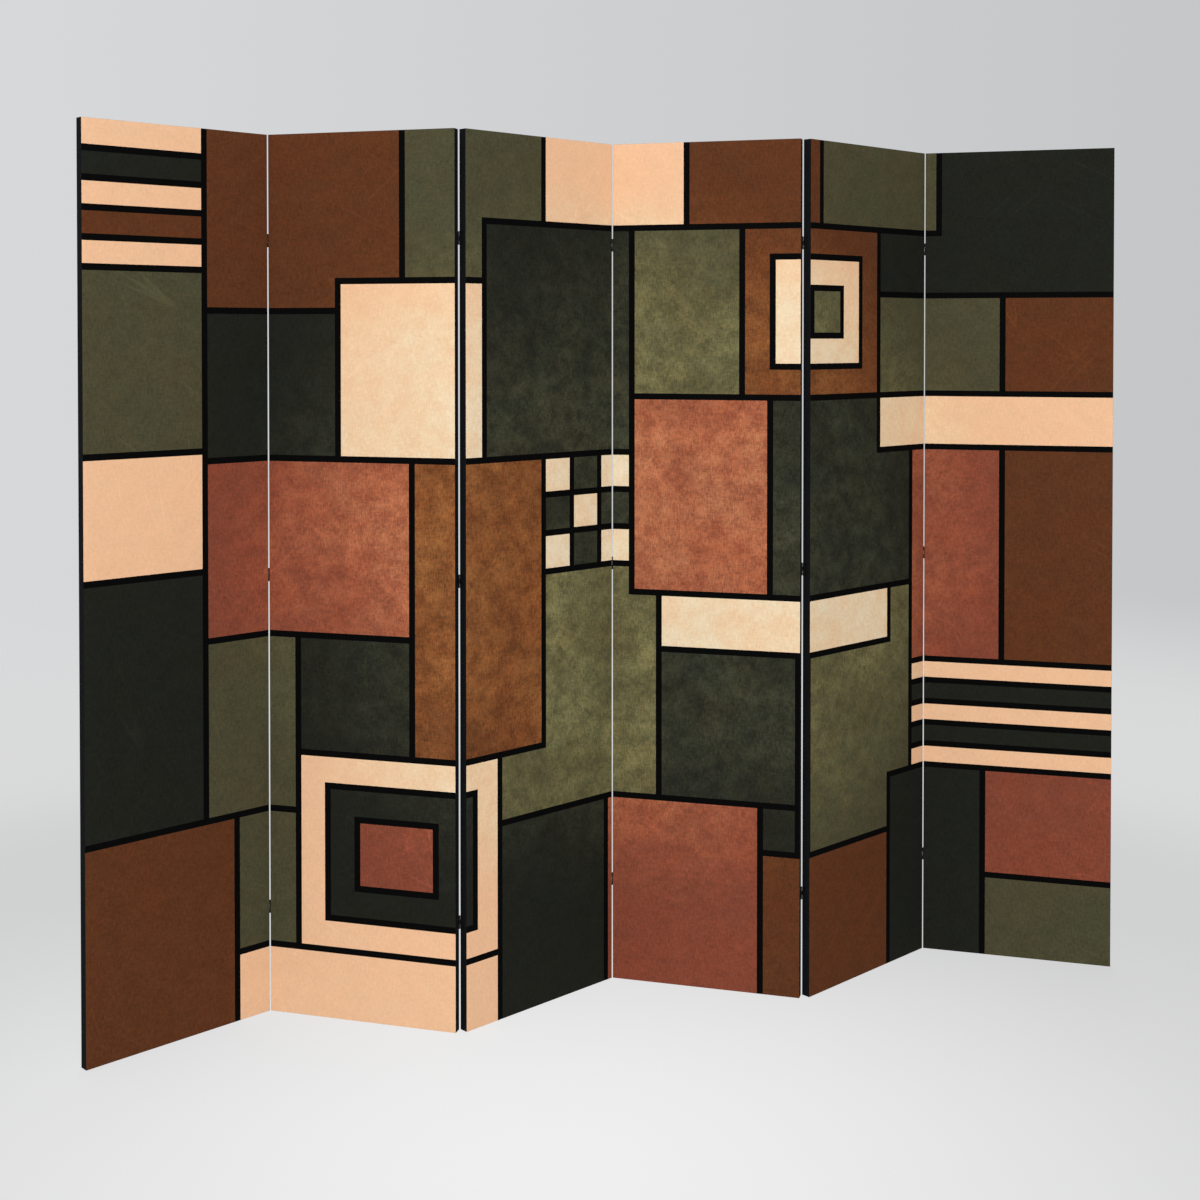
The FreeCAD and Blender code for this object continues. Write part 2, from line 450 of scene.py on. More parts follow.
def canvas_mesh(panel):
    """The printed canvas: front, four returns and the hem on the back, as one sheet."""
    start = panel * PANEL_WIDTH
    edge = INKS["edge"]
    width, depth, height = PANEL_WIDTH, CANVAS_DEPTH, PANEL_HEIGHT
    hem_x = [HEM_WIDTH, width - HEM_WIDTH]
    hem_z = [HEM_WIDTH, height - HEM_WIDTH]
    x_lines = side_lines(width, GRID_STEP, hem_x + print_lines(start, width, ("left", "right")))
    z_lines = side_lines(height, GRID_STEP, hem_z + print_lines(0, height, ("bottom", "top")))
    y_lines = side_lines(depth, depth / RETURN_STEPS, [])

    def front(x, z):
        point = rounded(Vector((x, 0, z)))
        point.y += front_slack(panel, x, z)
        return point, (start + x, z, 0), ink_at(start + x, z)

    def left(y, z):
        return rounded(Vector((0, y, z))), (start - y, z, 0), edge

    def right(y, z):
        return rounded(Vector((width, y, z))), (start + width + y, z, 0), edge

    def bottom(x, y):
        return rounded(Vector((x, y, 0))), (start + x, -y, 0), edge

    def top(x, y):
        return rounded(Vector((x, y, height))), (start + x, height + y, 0), edge

    def back(x, z):
        open_here = hem_x[0] < x < hem_x[1] and hem_z[0] < z < hem_z[1]
        ink = None if open_here else edge
        return rounded(Vector((x, depth, z))), (start - x, z, 0), ink

    bm = bmesh.new()
    layers = (
        bm.loops.layers.float_vector.new("picture"),
        bm.loops.layers.float_color.new("print_colour"),
    )
    net_side(bm, layers, x_lines, z_lines, front)
    net_side(bm, layers, y_lines, z_lines, left)
    net_side(bm, layers, y_lines, z_lines, right)
    net_side(bm, layers, x_lines, y_lines, bottom)
    net_side(bm, layers, x_lines, y_lines, top)
    net_side(bm, layers, x_lines, z_lines, back)
    bmesh.ops.remove_doubles(bm, verts=bm.verts, dist=SLIVER)
    loose = [vert for vert in bm.verts if not vert.link_faces]
    bmesh.ops.delete(bm, geom=loose, context="VERTS")
    bmesh.ops.recalc_face_normals(bm, faces=bm.faces)
    return mesh_of("canvas", bm)


def add_thickness(obj, thickness):
    """Gives a sheet its thickness on the inner side of its surface."""
    modifier = obj.modifiers.new("thickness", "SOLIDIFY")
    modifier.thickness = thickness
    modifier.offset = -1
    modifier.use_even_offset = True


# Cover on the back of a panel

COVER_STEP = 11 * MM
SCALLOP = 0.7 * MM
COVER_SLACK = 1.8 * MM

# Waves to a metre across and up the cover, their share of the slack and their start
WAVES_ACROSS = 14
WAVES_UP = 11
WAVE_SHARE = 0.5
WAVE_START = 40

# Powers by which the scallops die away from the cover's edges
SCALLOP_FALL_ACROSS = 20
SCALLOP_FALL_UP = 60


def staple_places(length):
    """Even places for staples along one side, the end ones a little in from the corners."""
    room = length - 4 * STAPLE_INSET
    count = max(1, round(room / STAPLE_SPACING))
    return [2 * STAPLE_INSET + room * i / count for i in range(count + 1)]


def scallop(place, length):
    """How far the cover's edge draws back between two staples."""
    stops = staple_places(length)
    gap = stops[1] - stops[0]
    if not stops[0] < place < stops[-1]:
        return 0
    return SCALLOP * (0.5 - 0.5 * math.cos(2 * math.pi * (place - stops[0]) / gap))


def cover_mesh(panel):
    """The black cover, drawn back a little between its staples and slack in the bays."""
    width = PANEL_WIDTH - 2 * COVER_INSET
    height = PANEL_HEIGHT - 2 * COVER_INSET
    columns = max(2, round(width / COVER_STEP))
    rows = max(2, round(height / COVER_STEP))
    bm = bmesh.new()
    grid = []
    for j in range(rows + 1):
        row = []
        for i in range(columns + 1):
            across, up = i / columns, j / rows
            x = COVER_INSET + width * across
            z = COVER_INSET + height * up
            inward_x = 1 - 2 * across
            inward_z = 1 - 2 * up
            draw_x = scallop(z, PANEL_HEIGHT) * inward_x * abs(inward_x) ** SCALLOP_FALL_ACROSS
            draw_z = scallop(x, PANEL_WIDTH) * inward_z * abs(inward_z) ** SCALLOP_FALL_UP
            place_x = x + draw_x
            place_z = z + draw_z
            wave = noise.noise(Vector((x * WAVES_ACROSS, z * WAVES_UP, WAVE_START + panel)))
            depth = bay_depth(x, z) * COVER_SLACK * (1 + WAVE_SHARE * wave)
            row.append(bm.verts.new((place_x, PANEL_THICKNESS - depth, place_z)))
        grid.append(row)
    for low, high in zip(grid, grid[1:]):
        for i in range(columns):
            bm.faces.new([low[i], high[i], high[i + 1], low[i + 1]])
    return mesh_of("cover", bm)


# Staples

def staple_mesh():
    """A wire staple: crown along X, legs along -Y, its crown's underside on the cover."""
    bend_steps = 4
    soft = 0.6
    half = STAPLE_CROWN / 2
    crown_y = STAPLE_THICKNESS / 2
    path = [Vector((half, -STAPLE_LEG, 0))]
    for i in range(bend_steps + 1):
        angle = math.radians(90) * i / bend_steps
        x = half - STAPLE_BEND + STAPLE_BEND * math.cos(angle)
        y = crown_y - STAPLE_BEND + STAPLE_BEND * math.sin(angle)
        path.append(Vector((x, y, 0)))
    path += [Vector((-p.x, p.y, 0)) for p in reversed(path)]
    section = []
    for side_t, side_z in (
        (-1, -soft), (-soft, -1), (soft, -1), (1, -soft),
        (1, soft), (soft, 1), (-soft, 1), (-1, soft),
    ):
        section.append((side_t * STAPLE_THICKNESS / 2, side_z * STAPLE_WIDTH / 2))
    bm = bmesh.new()
    rings = []
    for i, place in enumerate(path):
        ahead = path[min(i + 1, len(path) - 1)] - path[max(i - 1, 0)]
        normal = Vector((ahead.y, -ahead.x, 0)).normalized()
        rings.append([bm.verts.new(place + normal * t + Vector((0, 0, z))) for t, z in section])
    for near, far in zip(rings, rings[1:]):
        for i in range(len(section)):
            j = (i + 1) % len(section)
            bm.faces.new([near[i], near[j], far[j], far[i]])
    bm.faces.new(rings[0])
    bm.faces.new(rings[-1])
    bmesh.ops.recalc_face_normals(bm, faces=bm.faces)
    return mesh_of("staple", bm)


def staple_matrices():
    """A staple at each place round the cover's edge, its crown along the edge."""
    surface = PANEL_THICKNESS
    upright = Matrix.Rotation(math.radians(90), 4, "Y")
    found = []
    for x in staple_places(PANEL_WIDTH):
        for z in (STAPLE_INSET, PANEL_HEIGHT - STAPLE_INSET):
            found.append(Matrix.Translation((x, surface, z)))
    for z in staple_places(PANEL_HEIGHT):
        for x in (STAPLE_INSET, PANEL_WIDTH - STAPLE_INSET):
            found.append(Matrix.Translation((x, surface, z)) @ upright)
    return found


# Hinges and their screws, in a frame with the pin at the origin and the plate along +Y

def hinge_matrix(right_edge, at_front, height):
    """From the hinge's frame to one edge of a panel."""
    place = axis_place(right_edge, at_front)
    place.z = height
    mirror = (1 if right_edge else -1, 1 if at_front else -1, 1, 1)
    return Matrix.Translation(place) @ Matrix.Diagonal(mirror)


def screw_matrices():
    """The two screws of a leaf, from a frame where a screw runs along +X from its head."""
    middle = (KNUCKLE_RADIUS + PLATE_REACH) / 2
    turned = Matrix.Rotation(math.pi, 4, "Z")
    heights = (-SCREW_SPACING / 2, SCREW_SPACING / 2)
    return [Matrix.Translation((-BORE_RADIUS, middle, height)) @ turned for height in heights]


def screw_profile(clearance):
    """A screw's outline as (x, radius), its head's face at X = 0."""
    head = SCREW_HEAD_RADIUS + clearance
    shank = SCREW_SHANK_RADIUS + clearance
    straight_to = SCREW_LENGTH * SHANK_SHARE
    return [(0, head), (LEAF_THICKNESS, shank), (straight_to, shank), (SCREW_LENGTH, 0)]


def cross_recess():
    """A cross-shaped cutter for the screw's head."""
    reach, half = RECESS_REACH, RECESS_HALF
    bm = bmesh.new()
    outline = []
    for turn in range(4):
        angle = math.radians(90) * turn
        for y, z in ((reach, -half), (reach, half), (half, half)):
            across = y * math.cos(angle) - z * math.sin(angle)
            up = y * math.sin(angle) + z * math.cos(angle)
            outline.append((across, up))
    near = [bm.verts.new((-RECESS_DEPTH, y, z)) for y, z in outline]
    far = [bm.verts.new((RECESS_DEPTH, y * RECESS_TAPER, z * RECESS_TAPER)) for y, z in outline]
    bm.faces.new(near)
    bm.faces.new(far)
    for i in range(len(near)):
        j = (i + 1) % len(near)
        bm.faces.new([near[i], near[j], far[j], far[i]])
    bmesh.ops.recalc_face_normals(bm, faces=bm.faces)
    return mesh_of("recess", bm)


def screw_mesh():
    """A countersunk screw with a cross recess, its head's face at X = 0."""
    plain = mesh_of("screw", revolve([(0, 0)] + screw_profile(0), SCREW_SIDES))
    return cut_out(plain, cross_recess())


def leaf_lines():
    """The leaf's sheet seen from above, from its free end to the seam of its roll."""
    notch = KNUCKLE_RADIUS + KNUCKLE_GAP
    seam_x = BORE_RADIUS - SEAM_GAP
    seam_angle = 2 * math.pi + math.acos(-seam_x / KNUCKLE_RADIUS)
    plate = [PLATE_REACH, notch]
    line = [(-KNUCKLE_RADIUS, y) for y in plate]
    for i in range(ROLL_STEPS + 1):
        angle = math.pi + (seam_angle - math.pi) * i / ROLL_STEPS
        line.append((KNUCKLE_RADIUS * math.cos(angle), KNUCKLE_RADIUS * math.sin(angle)))
    return line, len(plate) - 1


def hole_mesh():
    """A cutter for a leaf's countersunk hole, which starts above the head's face."""
    lead = 1 * MM
    profile = screw_profile(SCREW_CLEARANCE)
    head = profile[0][1]
    return mesh_of("hole", revolve([(-lead, 0), (-lead, head)] + profile, SCREW_SIDES))


def leaf_mesh(outer):
    """A leaf bent from one sheet: the plate, its knuckles and the countersunk holes."""
    line, plate_cells = leaf_lines()
    half = LEAF_HEIGHT / 2
    pitch = (LEAF_HEIGHT + KNUCKLE_GAP) / KNUCKLE_COUNT
    levels = []
    for row in range(KNUCKLE_COUNT):
        levels += [row * pitch - half, (row + 1) * pitch - KNUCKLE_GAP - half]

    # From bottom to top: knuckle, gap, knuckle, gap, knuckle. The outer leaf has both end ones.
    knuckle_cells = (0, 4) if outer else (2,)
    bm = bmesh.new()
    grid = [[bm.verts.new((x, y, level)) for x, y in line] for level in levels]
    for j in range(len(levels) - 1):
        for i in range(len(line) - 1):
            if i >= plate_cells and j not in knuckle_cells:
                continue
            bm.faces.new([grid[j][i], grid[j + 1][i], grid[j + 1][i + 1], grid[j][i + 1]])
    bmesh.ops.delete(bm, geom=[v for v in bm.verts if not v.link_faces], context="VERTS")
    sheet = mesh_of("leaf", bm)
    towards_pin = 1
    bent = with_modifier(sheet, "SOLIDIFY", thickness=LEAF_THICKNESS, offset=towards_pin)
    return cut_out(bent, copies("holes", hole_mesh(), screw_matrices()))


def pin_mesh():
    """The pin, with softened ends a little proud of the barrel."""
    half = LEAF_HEIGHT / 2 + PIN_OVERHANG
    soft = PIN_SOFT_END
    profile = [(-half, 0), (-half, PIN_RADIUS - soft), (-half + soft, PIN_RADIUS)]
    profile += [(-x, radius) for x, radius in reversed(profile)]
    bm = revolve(profile, PIN_SIDES)
    upright = Matrix.Rotation(math.radians(90), 4, "Y")
    bmesh.ops.transform(bm, matrix=upright, verts=bm.verts)
    return mesh_of("pin", bm)


# Materials

class Finish:
    """A material in the making, whose nodes are added and linked by short calls."""

    def __init__(self, name):
        self.material = bpy.data.materials.new(name)
        self.material.use_nodes = True
        self.tree = self.material.node_tree
        self.surface = self.tree.nodes["Principled BSDF"]

    def put(self, socket, value):
        """Sets a socket, or links it where the value is another node's output."""
        if isinstance(value, bpy.types.NodeSocket):
            self.tree.links.new(value, socket)
        else:
            socket.default_value = value

    def add(self, kind, settings=None, inputs=None):
        """A new node with its settings and inputs."""
        node = self.tree.nodes.new("ShaderNode" + kind)
        for key, value in (settings or {}).items():
            setattr(node, key, value)
        for key, value in (inputs or {}).items():
            self.put(node.inputs[key], value)
        return node

    def number(self, operation, *values):
        """A number worked out from others."""
        inputs = dict(enumerate(values))
        return self.add("Math", {"operation": operation}, inputs).outputs[0]

    def vector(self, operation, *values):
        """A vector or colour worked out channel by channel."""
        inputs = dict(enumerate(values))
        return self.add("VectorMath", {"operation": operation}, inputs).outputs[0]

    def scaled(self, value, factor):
        """A vector or colour times a number."""
        settings = {"operation": "SCALE"}
        inputs = {0: value, "Scale": factor}
        return self.add("VectorMath", settings, inputs).outputs[0]

    def distance(self, place, other):
        """How far one place is from another."""
        inputs = {0: place, 1: other}
        return self.add("VectorMath", {"operation": "DISTANCE"}, inputs).outputs["Value"]

    def split(self, value):
        """The three parts of a vector."""
        return self.add("SeparateXYZ", None, {0: value}).outputs

    def noise(self, place, scale, detail, roughness):
        """Noise from 0 to 1, scale gives its turns to a metre."""
        inputs = {"Vector": place, "Scale": scale, "Detail": detail, "Roughness": roughness}
        return self.add("TexNoise", None, inputs).outputs["Fac"]

    def spread(self, value, low, high, to_low=0.0, to_high=1.0):
        """Maps a range of a value smoothly to another range."""
        settings = {"interpolation_type": "SMOOTHSTEP"}
        inputs = {
            "Value": value,
            "From Min": low,
            "From Max": high,
            "To Min": to_low,
            "To Max": to_high,
        }
        return self.add("MapRange", settings, inputs).outputs["Result"]

    def mix(self, share, first, second):
        """The first colour, with a share of the second mixed in."""
        inputs = {0: share, 6: first, 7: second}
        return self.add("Mix", {"data_type": "RGBA"}, inputs).outputs[2]

    def attribute(self, name, output):
        """A value stored on the mesh."""
        return self.add("Attribute", {"attribute_name": name}).outputs[output]

    def position(self):
        """The place on the object, in metres."""
        return self.add("TexCoord").outputs["Object"]

    def bump(self, height, distance, strength):
        """A surface normal tilted by a relief."""
        inputs = {"Height": height, "Distance": distance, "Strength": strength}
        return self.add("Bump", None, inputs).outputs["Normal"]

    def finish(self, **values):
        """Sets the surface's own sockets: underscores in the names stand for spaces."""
        for key, value in values.items():
            self.put(self.surface.inputs[key.replace("_", " ")], value)
        return self.material


def weave(make, place, pitch):
    """Height of a plain weave: threads pass over and under each other."""
    turns = make.split(make.scaled(place, math.pi / pitch))
    warp = make.number("SINE", turns[0])
    weft = make.number("SINE", turns[1])
    over = make.number("MULTIPLY", warp, weft)
    threads = make.number(
        "MAXIMUM", make.number("ABSOLUTE", warp), make.number("ABSOLUTE", weft)
    )
    return make.number("MULTIPLY_ADD", over, OVER_HEIGHT, threads)


# Texture of the print, in turns of noise to a metre of the picture
STREAKS_ALONG = 70
STREAKS_ACROSS = 420
GRAIN_SCALE = 150.0
BLOTCH_SCALE = 26.0
CLOUD_SCALE = 4.5
DRIFT_SCALE = 7.0
DRIFT_SHIFT = (7.1, 3.3, 0)
THREAD_PITCH = 0.6 * MM
OVER_HEIGHT = 0.35
CANVAS_RELIEF = 0.08 * MM
CANVAS_RELIEF_STRENGTH = 0.35
CANVAS_ROUGHNESS = (0.78, 0.9)

# Shares of streaks along the picture, of streaks up it and of grain in the fine texture
LEVEL_SHARE = 0.25
UPRIGHT_SHARE = 0.45
GRAIN_SHARE = 0.30

# Lightness between outline and ink, and between dark inks and light ones
INK_FROM, INK_AT = 0.0075, 0.0105
LIGHT_FROM, LIGHT_AT = 0.15, 0.45

# The middle and reach of a painted pool of light on the picture, in metres, and what it does to
# the inks
LIGHT_POOL_MIDDLE = (1.25, 0.95)
LIGHT_POOL_REACH = (1.0, 0.8)
LIGHT_POOL_COLOUR = (1.8, 1.7, 1.15)
LIGHT_POOL_DAMPING = 1.5

# Scratches, each as (turn, shift)
SCRATCHES = ((0.5, 0.0), (-0.9, 4.0), (1.3, 9.0))
SCRATCH_STRETCH = (0.9, 11, 1)
SCRATCH_WIDTH = 0.006
SCRATCH_LIGHTNESS = 0.25
SCRATCH_PLACES_SCALE = 4.0

# Swings of tone, and the two ends of the hue
STREAK_SWING = 0.26
BLOTCH_SWING = 0.09
COOLER = (0.93, 1.01, 1.04, 1)
WARMER = (1.07, 0.99, 0.94, 1)


def printed_canvas():
    """Print on linen-like canvas: mottled and aged, with a painted pool of light towards the
    picture's middle.
    """
    make = Finish("printed_canvas")
    picture = make.attribute("picture", "Vector")
    ink = make.attribute("print_colour", "Color")
    u, v = make.split(picture)[:2]
    lightness = make.add("RGBToBW", None, {0: ink}).outputs[0]
    is_ink = make.spread(lightness, INK_FROM, INK_AT)
    marked = make.spread(lightness, LIGHT_FROM, LIGHT_AT, 1.0, 0.3)

    # Linen streaks, grain and blotches
    drawn_up = make.vector("MULTIPLY", picture, (STREAKS_ACROSS, STREAKS_ALONG, 1))
    drawn_along = make.vector("MULTIPLY", picture, (STREAKS_ALONG, STREAKS_ACROSS, 1))
    upright = make.noise(drawn_up, 1.0, detail=3.0, roughness=0.6)
    level = make.noise(drawn_along, 1.0, detail=3.0, roughness=0.6)
    grain = make.noise(picture, GRAIN_SCALE, detail=3.0, roughness=0.7)
    blotch = make.noise(picture, BLOTCH_SCALE, detail=5.0, roughness=0.65)
    fine = make.number("MULTIPLY", upright, UPRIGHT_SHARE)
    fine = make.number("MULTIPLY_ADD", level, LEVEL_SHARE, fine)
    fine = make.number("MULTIPLY_ADD", grain, GRAIN_SHARE, fine)

    # Painted pool of light over the picture's middle, mottled by clouds and flecks
    squares = []
    for place, middle, reach in zip((u, v), LIGHT_POOL_MIDDLE, LIGHT_POOL_REACH):
        away = make.number("DIVIDE", make.number("SUBTRACT", place, middle), reach)
        squares.append(make.number("POWER", away, 2.0))
    light_pool = make.spread(make.number("ADD", *squares), 0.0, 1.0, 1.0, 0.0)
    cloud = make.noise(picture, CLOUD_SCALE, detail=6.0, roughness=0.62)
    patches = make.spread(cloud, 0.3, 0.72, 0.4, 1.3)
    flecks = make.spread(make.number("ADD", fine, blotch), 0.75, 1.25, 0.45, 1.55)
    patchy_light_pool = make.number("MULTIPLY", light_pool, patches)
    light_pool_lift = make.scaled(
        LIGHT_POOL_COLOUR, make.number("MULTIPLY", patchy_light_pool, make.number("MULTIPLY", flecks, is_ink))
    )
    raised = make.vector("MULTIPLY", ink, make.vector("ADD", light_pool_lift, (1, 1, 1)))
    damping = make.scaled(make.vector("MULTIPLY", ink, light_pool_lift), LIGHT_POOL_DAMPING)
    lit = make.vector("DIVIDE", raised, make.vector("ADD", damping, (1, 1, 1)))

    # A few faint scratches
    scratches = None
    for turn, shift in SCRATCHES:
        turned = make.add("VectorRotate", None, {"Vector": picture, "Angle": turn}).outputs[0]
        moved = make.vector("MULTIPLY_ADD", turned, SCRATCH_STRETCH, (shift, shift, 0))
        line = make.noise(moved, 1.0, detail=0.0, roughness=0.5)
        distance = make.number("ABSOLUTE", make.number("SUBTRACT", line, 0.5))
        thin = make.spread(distance, 0.0, SCRATCH_WIDTH, 1.0, 0.0)
        aside = make.vector("ADD", picture, (shift, 2.0, 0))
        where = make.noise(aside, SCRATCH_PLACES_SCALE, detail=2.0, roughness=0.5)
        mark = make.number("MULTIPLY", thin, make.spread(where, 0.54, 0.62))
        scratches = mark if scratches is None else make.number("MAXIMUM", scratches, mark)

    # Tone and hue, warmer and cooler by turns, weaker on the light inks
    mottle = make.spread(blotch, 0.25, 0.75, -BLOTCH_SWING, BLOTCH_SWING)
    tone = make.number("MULTIPLY_ADD", scratches, SCRATCH_LIGHTNESS, mottle)
    tone = make.number("ADD", make.spread(fine, 0.3, 0.7, -STREAK_SWING, STREAK_SWING), tone)
    toned = make.scaled(lit, make.number("MULTIPLY_ADD", tone, marked, 1.0))
    moved = make.vector("ADD", picture, DRIFT_SHIFT)
    drift = make.noise(moved, DRIFT_SCALE, detail=7.0, roughness=0.75)
    warmth = make.number("MULTIPLY_ADD", grain, 0.5, make.number("MULTIPLY", drift, 0.5))
    hue = make.mix(make.spread(warmth, 0.38, 0.62), COOLER, WARMER)
    tinted = make.mix(marked, toned, make.vector("MULTIPLY", toned, hue))

    threads = weave(make, picture, THREAD_PITCH)
    height = make.number("MULTIPLY_ADD", make.number("ADD", level, upright), 0.5, threads)
    return make.finish(
        Base_Color=tinted,
        Roughness=make.spread(blotch, 0.2, 0.8, *CANVAS_ROUGHNESS),
        Normal=make.bump(height, CANVAS_RELIEF, CANVAS_RELIEF_STRENGTH),
        Specular_IOR_Level=0.03,
    )


# The black cover, in turns of noise to a metre
DUST_SCALE = 11.0
FLECK_SCALE = 420.0
FIBRES_ALONG = 60
FIBRES_ACROSS = 900
COVER_BLACK = (0.019, 0.019, 0.020, 1)
COVER_DUST = (0.045, 0.044, 0.042, 1)
DUST_SHARE = 0.35
COVER_RELIEF = 0.15 * MM


def black_cover():
    """Black lining cloth with a fine weave and a little dust."""
    make = Finish("black_cover_cloth")
    place = make.position()
    dusty = make.noise(place, DUST_SCALE, detail=8.0, roughness=0.75)
    flecked = make.noise(place, FLECK_SCALE, detail=2.0, roughness=0.6)
    dust = make.spread(dusty, 0.4, 0.8)
    fleck = make.spread(flecked, 0.35, 0.75, 0.75, 1.3)
    cloth = make.mix(make.number("MULTIPLY", dust, DUST_SHARE), COVER_BLACK, COVER_DUST)
    drawn_up = make.vector("MULTIPLY", place, (FIBRES_ACROSS, FIBRES_ACROSS, FIBRES_ALONG))
    drawn_along = make.vector("MULTIPLY", place, (FIBRES_ALONG, FIBRES_ALONG, FIBRES_ACROSS))
    upright = make.noise(drawn_up, 1.0, detail=2.0, roughness=0.5)
    level = make.noise(drawn_along, 1.0, detail=2.0, roughness=0.5)
    return make.finish(
        Base_Color=make.scaled(cloth, fleck),
        Roughness=make.spread(fleck, 0.7, 1.3, 0.8, 0.92),
        Normal=make.bump(make.number("ADD", upright, level), COVER_RELIEF, 0.6),
        Specular_IOR_Level=0.2,
        Sheen_Weight=0.08,
        Sheen_Roughness=0.5,
    )


# Pine, drawn out along the grain
GRAIN_ALONG = 1.6
GRAIN_ACROSS = 30.0
RING_SCALE = 1.6
RING_COUNT = 60.0
PORE_SCALE = 36.0
EARLY_WOOD = (0.62, 0.42, 0.22, 1)
LATE_WOOD = (0.42, 0.23, 0.10, 1)
PINE_RELIEF = 0.1 * MM


def pine(name, grain):
    """Planed pine: growth rings and pores drawn out along the grain, a unit vector."""
    make = Finish(name)
    stretch = [GRAIN_ALONG if share else GRAIN_ACROSS for share in grain]
    drawn = make.vector("MULTIPLY", make.position(), stretch)
    rings = make.noise(drawn, RING_SCALE, detail=3.0, roughness=0.5)
    bands = make.number("SINE", make.number("MULTIPLY", rings, RING_COUNT))
    late = make.spread(bands, -0.2, 1.0)
    pores = make.noise(drawn, PORE_SCALE, detail=3.0, roughness=0.7)
    colour = make.mix(late, EARLY_WOOD, LATE_WOOD)
    return make.finish(
        Base_Color=make.scaled(colour, make.spread(pores, 0.25, 0.75, 0.85, 1.1)),
        Roughness=make.spread(pores, 0.2, 0.8, 0.5, 0.7),
        Normal=make.bump(make.number("ADD", late, pores), PINE_RELIEF, 0.4),
    )


# Metals, each as (name, colour, rubbed colour, roughness), and their noise to a metre
METALS = {
    "hinge": ("blackened_hinge", (0.018, 0.018, 0.020, 1), (0.06, 0.06, 0.063, 1), 0.50),
    "pin": ("steel_pin", (0.03, 0.03, 0.032, 1), (0.12, 0.12, 0.12, 1), 0.42),
    "screw": ("blackened_screw", (0.022, 0.022, 0.024, 1), (0.09, 0.09, 0.09, 1), 0.48),
    "staple": ("staple_wire", (0.30, 0.30, 0.31, 1), (0.5, 0.5, 0.5, 1), 0.32),
}
RUB_SCALE = 900.0
RUB_SHARE = 0.6
PITTING_SCALE = 4200.0
METAL_RELIEF = 0.02 * MM


def dark_metal(name, base, bright, roughness):
    """Steel with fine pitting, rubbed brighter in places."""
    make = Finish(name)
    place = make.position()
    rub = make.spread(make.noise(place, RUB_SCALE, detail=4.0, roughness=0.6), 0.5, 0.78)
    fine = make.noise(place, PITTING_SCALE, detail=3.0, roughness=0.6)
    colour = make.mix(make.number("MULTIPLY", rub, RUB_SHARE), base, bright)
    return make.finish(
        Base_Color=colour,
        Roughness=make.spread(fine, 0.2, 0.8, roughness - 0.08, roughness + 0.12),
        Normal=make.bump(fine, METAL_RELIEF, 0.4),
        Metallic=0.9,
    )


# Assembling the screen

def dress_frame(nodes):
    """The frame's bars stay as they are and get their pine."""
    upright = pine("pine_upright", (0, 0, 1))
    level = pine("pine_level", (1, 0, 0))
    for name, node in nodes.items():
        if name.endswith("stile"):
            finish = upright
        elif name.endswith("rails"):
            finish = level
        else:
            continue
        node.data.materials.clear()
        node.data.materials.append(finish)


def add_piece(name, mesh, material, body, node=None):
    """A finished piece that rides on a panel and stands for its node."""
    made = add_object(name, mesh)
    made.data.materials.append(material)
    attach(made, body)
    if node:
        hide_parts(node)
    return made


def placed(mesh, matrix):
    """The mesh, moved by a matrix."""
    mesh.transform(matrix)
    return mesh


def add_panels(places, finishes):
    """Canvas, cover, staples and screws of every panel."""
    staple = staple_mesh()
    screw = screw_mesh()
    for panel, place in enumerate(places):
        body = "panel_" + str(panel + 1)
        canvas = add_piece(
            body + "_printed_canvas", placed(canvas_mesh(panel), place), finishes["print"],
            body, body + "_front_canvas",
        )
        add_thickness(canvas, CANVAS_THICKNESS)
        cover = add_piece(
            body + "_cover_cloth", placed(cover_mesh(panel), place), finishes["cover"],
            body, body + "_back_canvas",
        )
        add_thickness(cover, CANVAS_THICKNESS)
        staples = add_piece(
            body + "_staples", placed(copies("staples", staple, staple_matrices()), place),
            finishes["staple"], body,
        )
        spots = []
        for right_edge, at_front in panel_folds(panel):
            for height in HINGE_HEIGHTS:
                for matrix in screw_matrices():
                    spots.append(place @ hinge_matrix(right_edge, at_front, height) @ matrix)
        add_piece(
            body + "_cross_screws", copies("screws", screw, spots), finishes["screw"],
            body, body + "_hinge_screws",
        )


def add_folds(places, finishes):
    """The three hinges of every fold: two sets of leaves and their pins."""
    templates = {"left": leaf_mesh(True), "right": leaf_mesh(False), "pins": pin_mesh()}
    for fold in range(PANEL_COUNT - 1):
        at_front = folds_at_front(fold)
        name = "fold_" + str(fold + 1) + "_" + str(fold + 2)
        left_body, right_body = "panel_" + str(fold + 1), "panel_" + str(fold + 2)
        left_spots = [places[fold] @ hinge_matrix(True, at_front, h) for h in HINGE_HEIGHTS]
        right_spots = [places[fold + 1] @ hinge_matrix(False, at_front, h) for h in HINGE_HEIGHTS]
        add_piece(
            name + "_left_butt_leaves", copies("leaves", templates["left"], left_spots),
            finishes["hinge"], left_body, name + "_left_leaves",
        )
        add_piece(
            name + "_right_butt_leaves", copies("leaves", templates["right"], right_spots),
            finishes["hinge"], right_body, name + "_right_leaves",
        )
        add_piece(
            name + "_steel_pins", copies("pins", templates["pins"], left_spots),
            finishes["pin"], left_body, name + "_pins",
        )


# Floor, light and camera

FLOOR_REACH = 9.0
FLOOR_SIDES = 64
FLOOR_SOLID_TO = 2.8
FLOOR_GONE_AT = 6.5

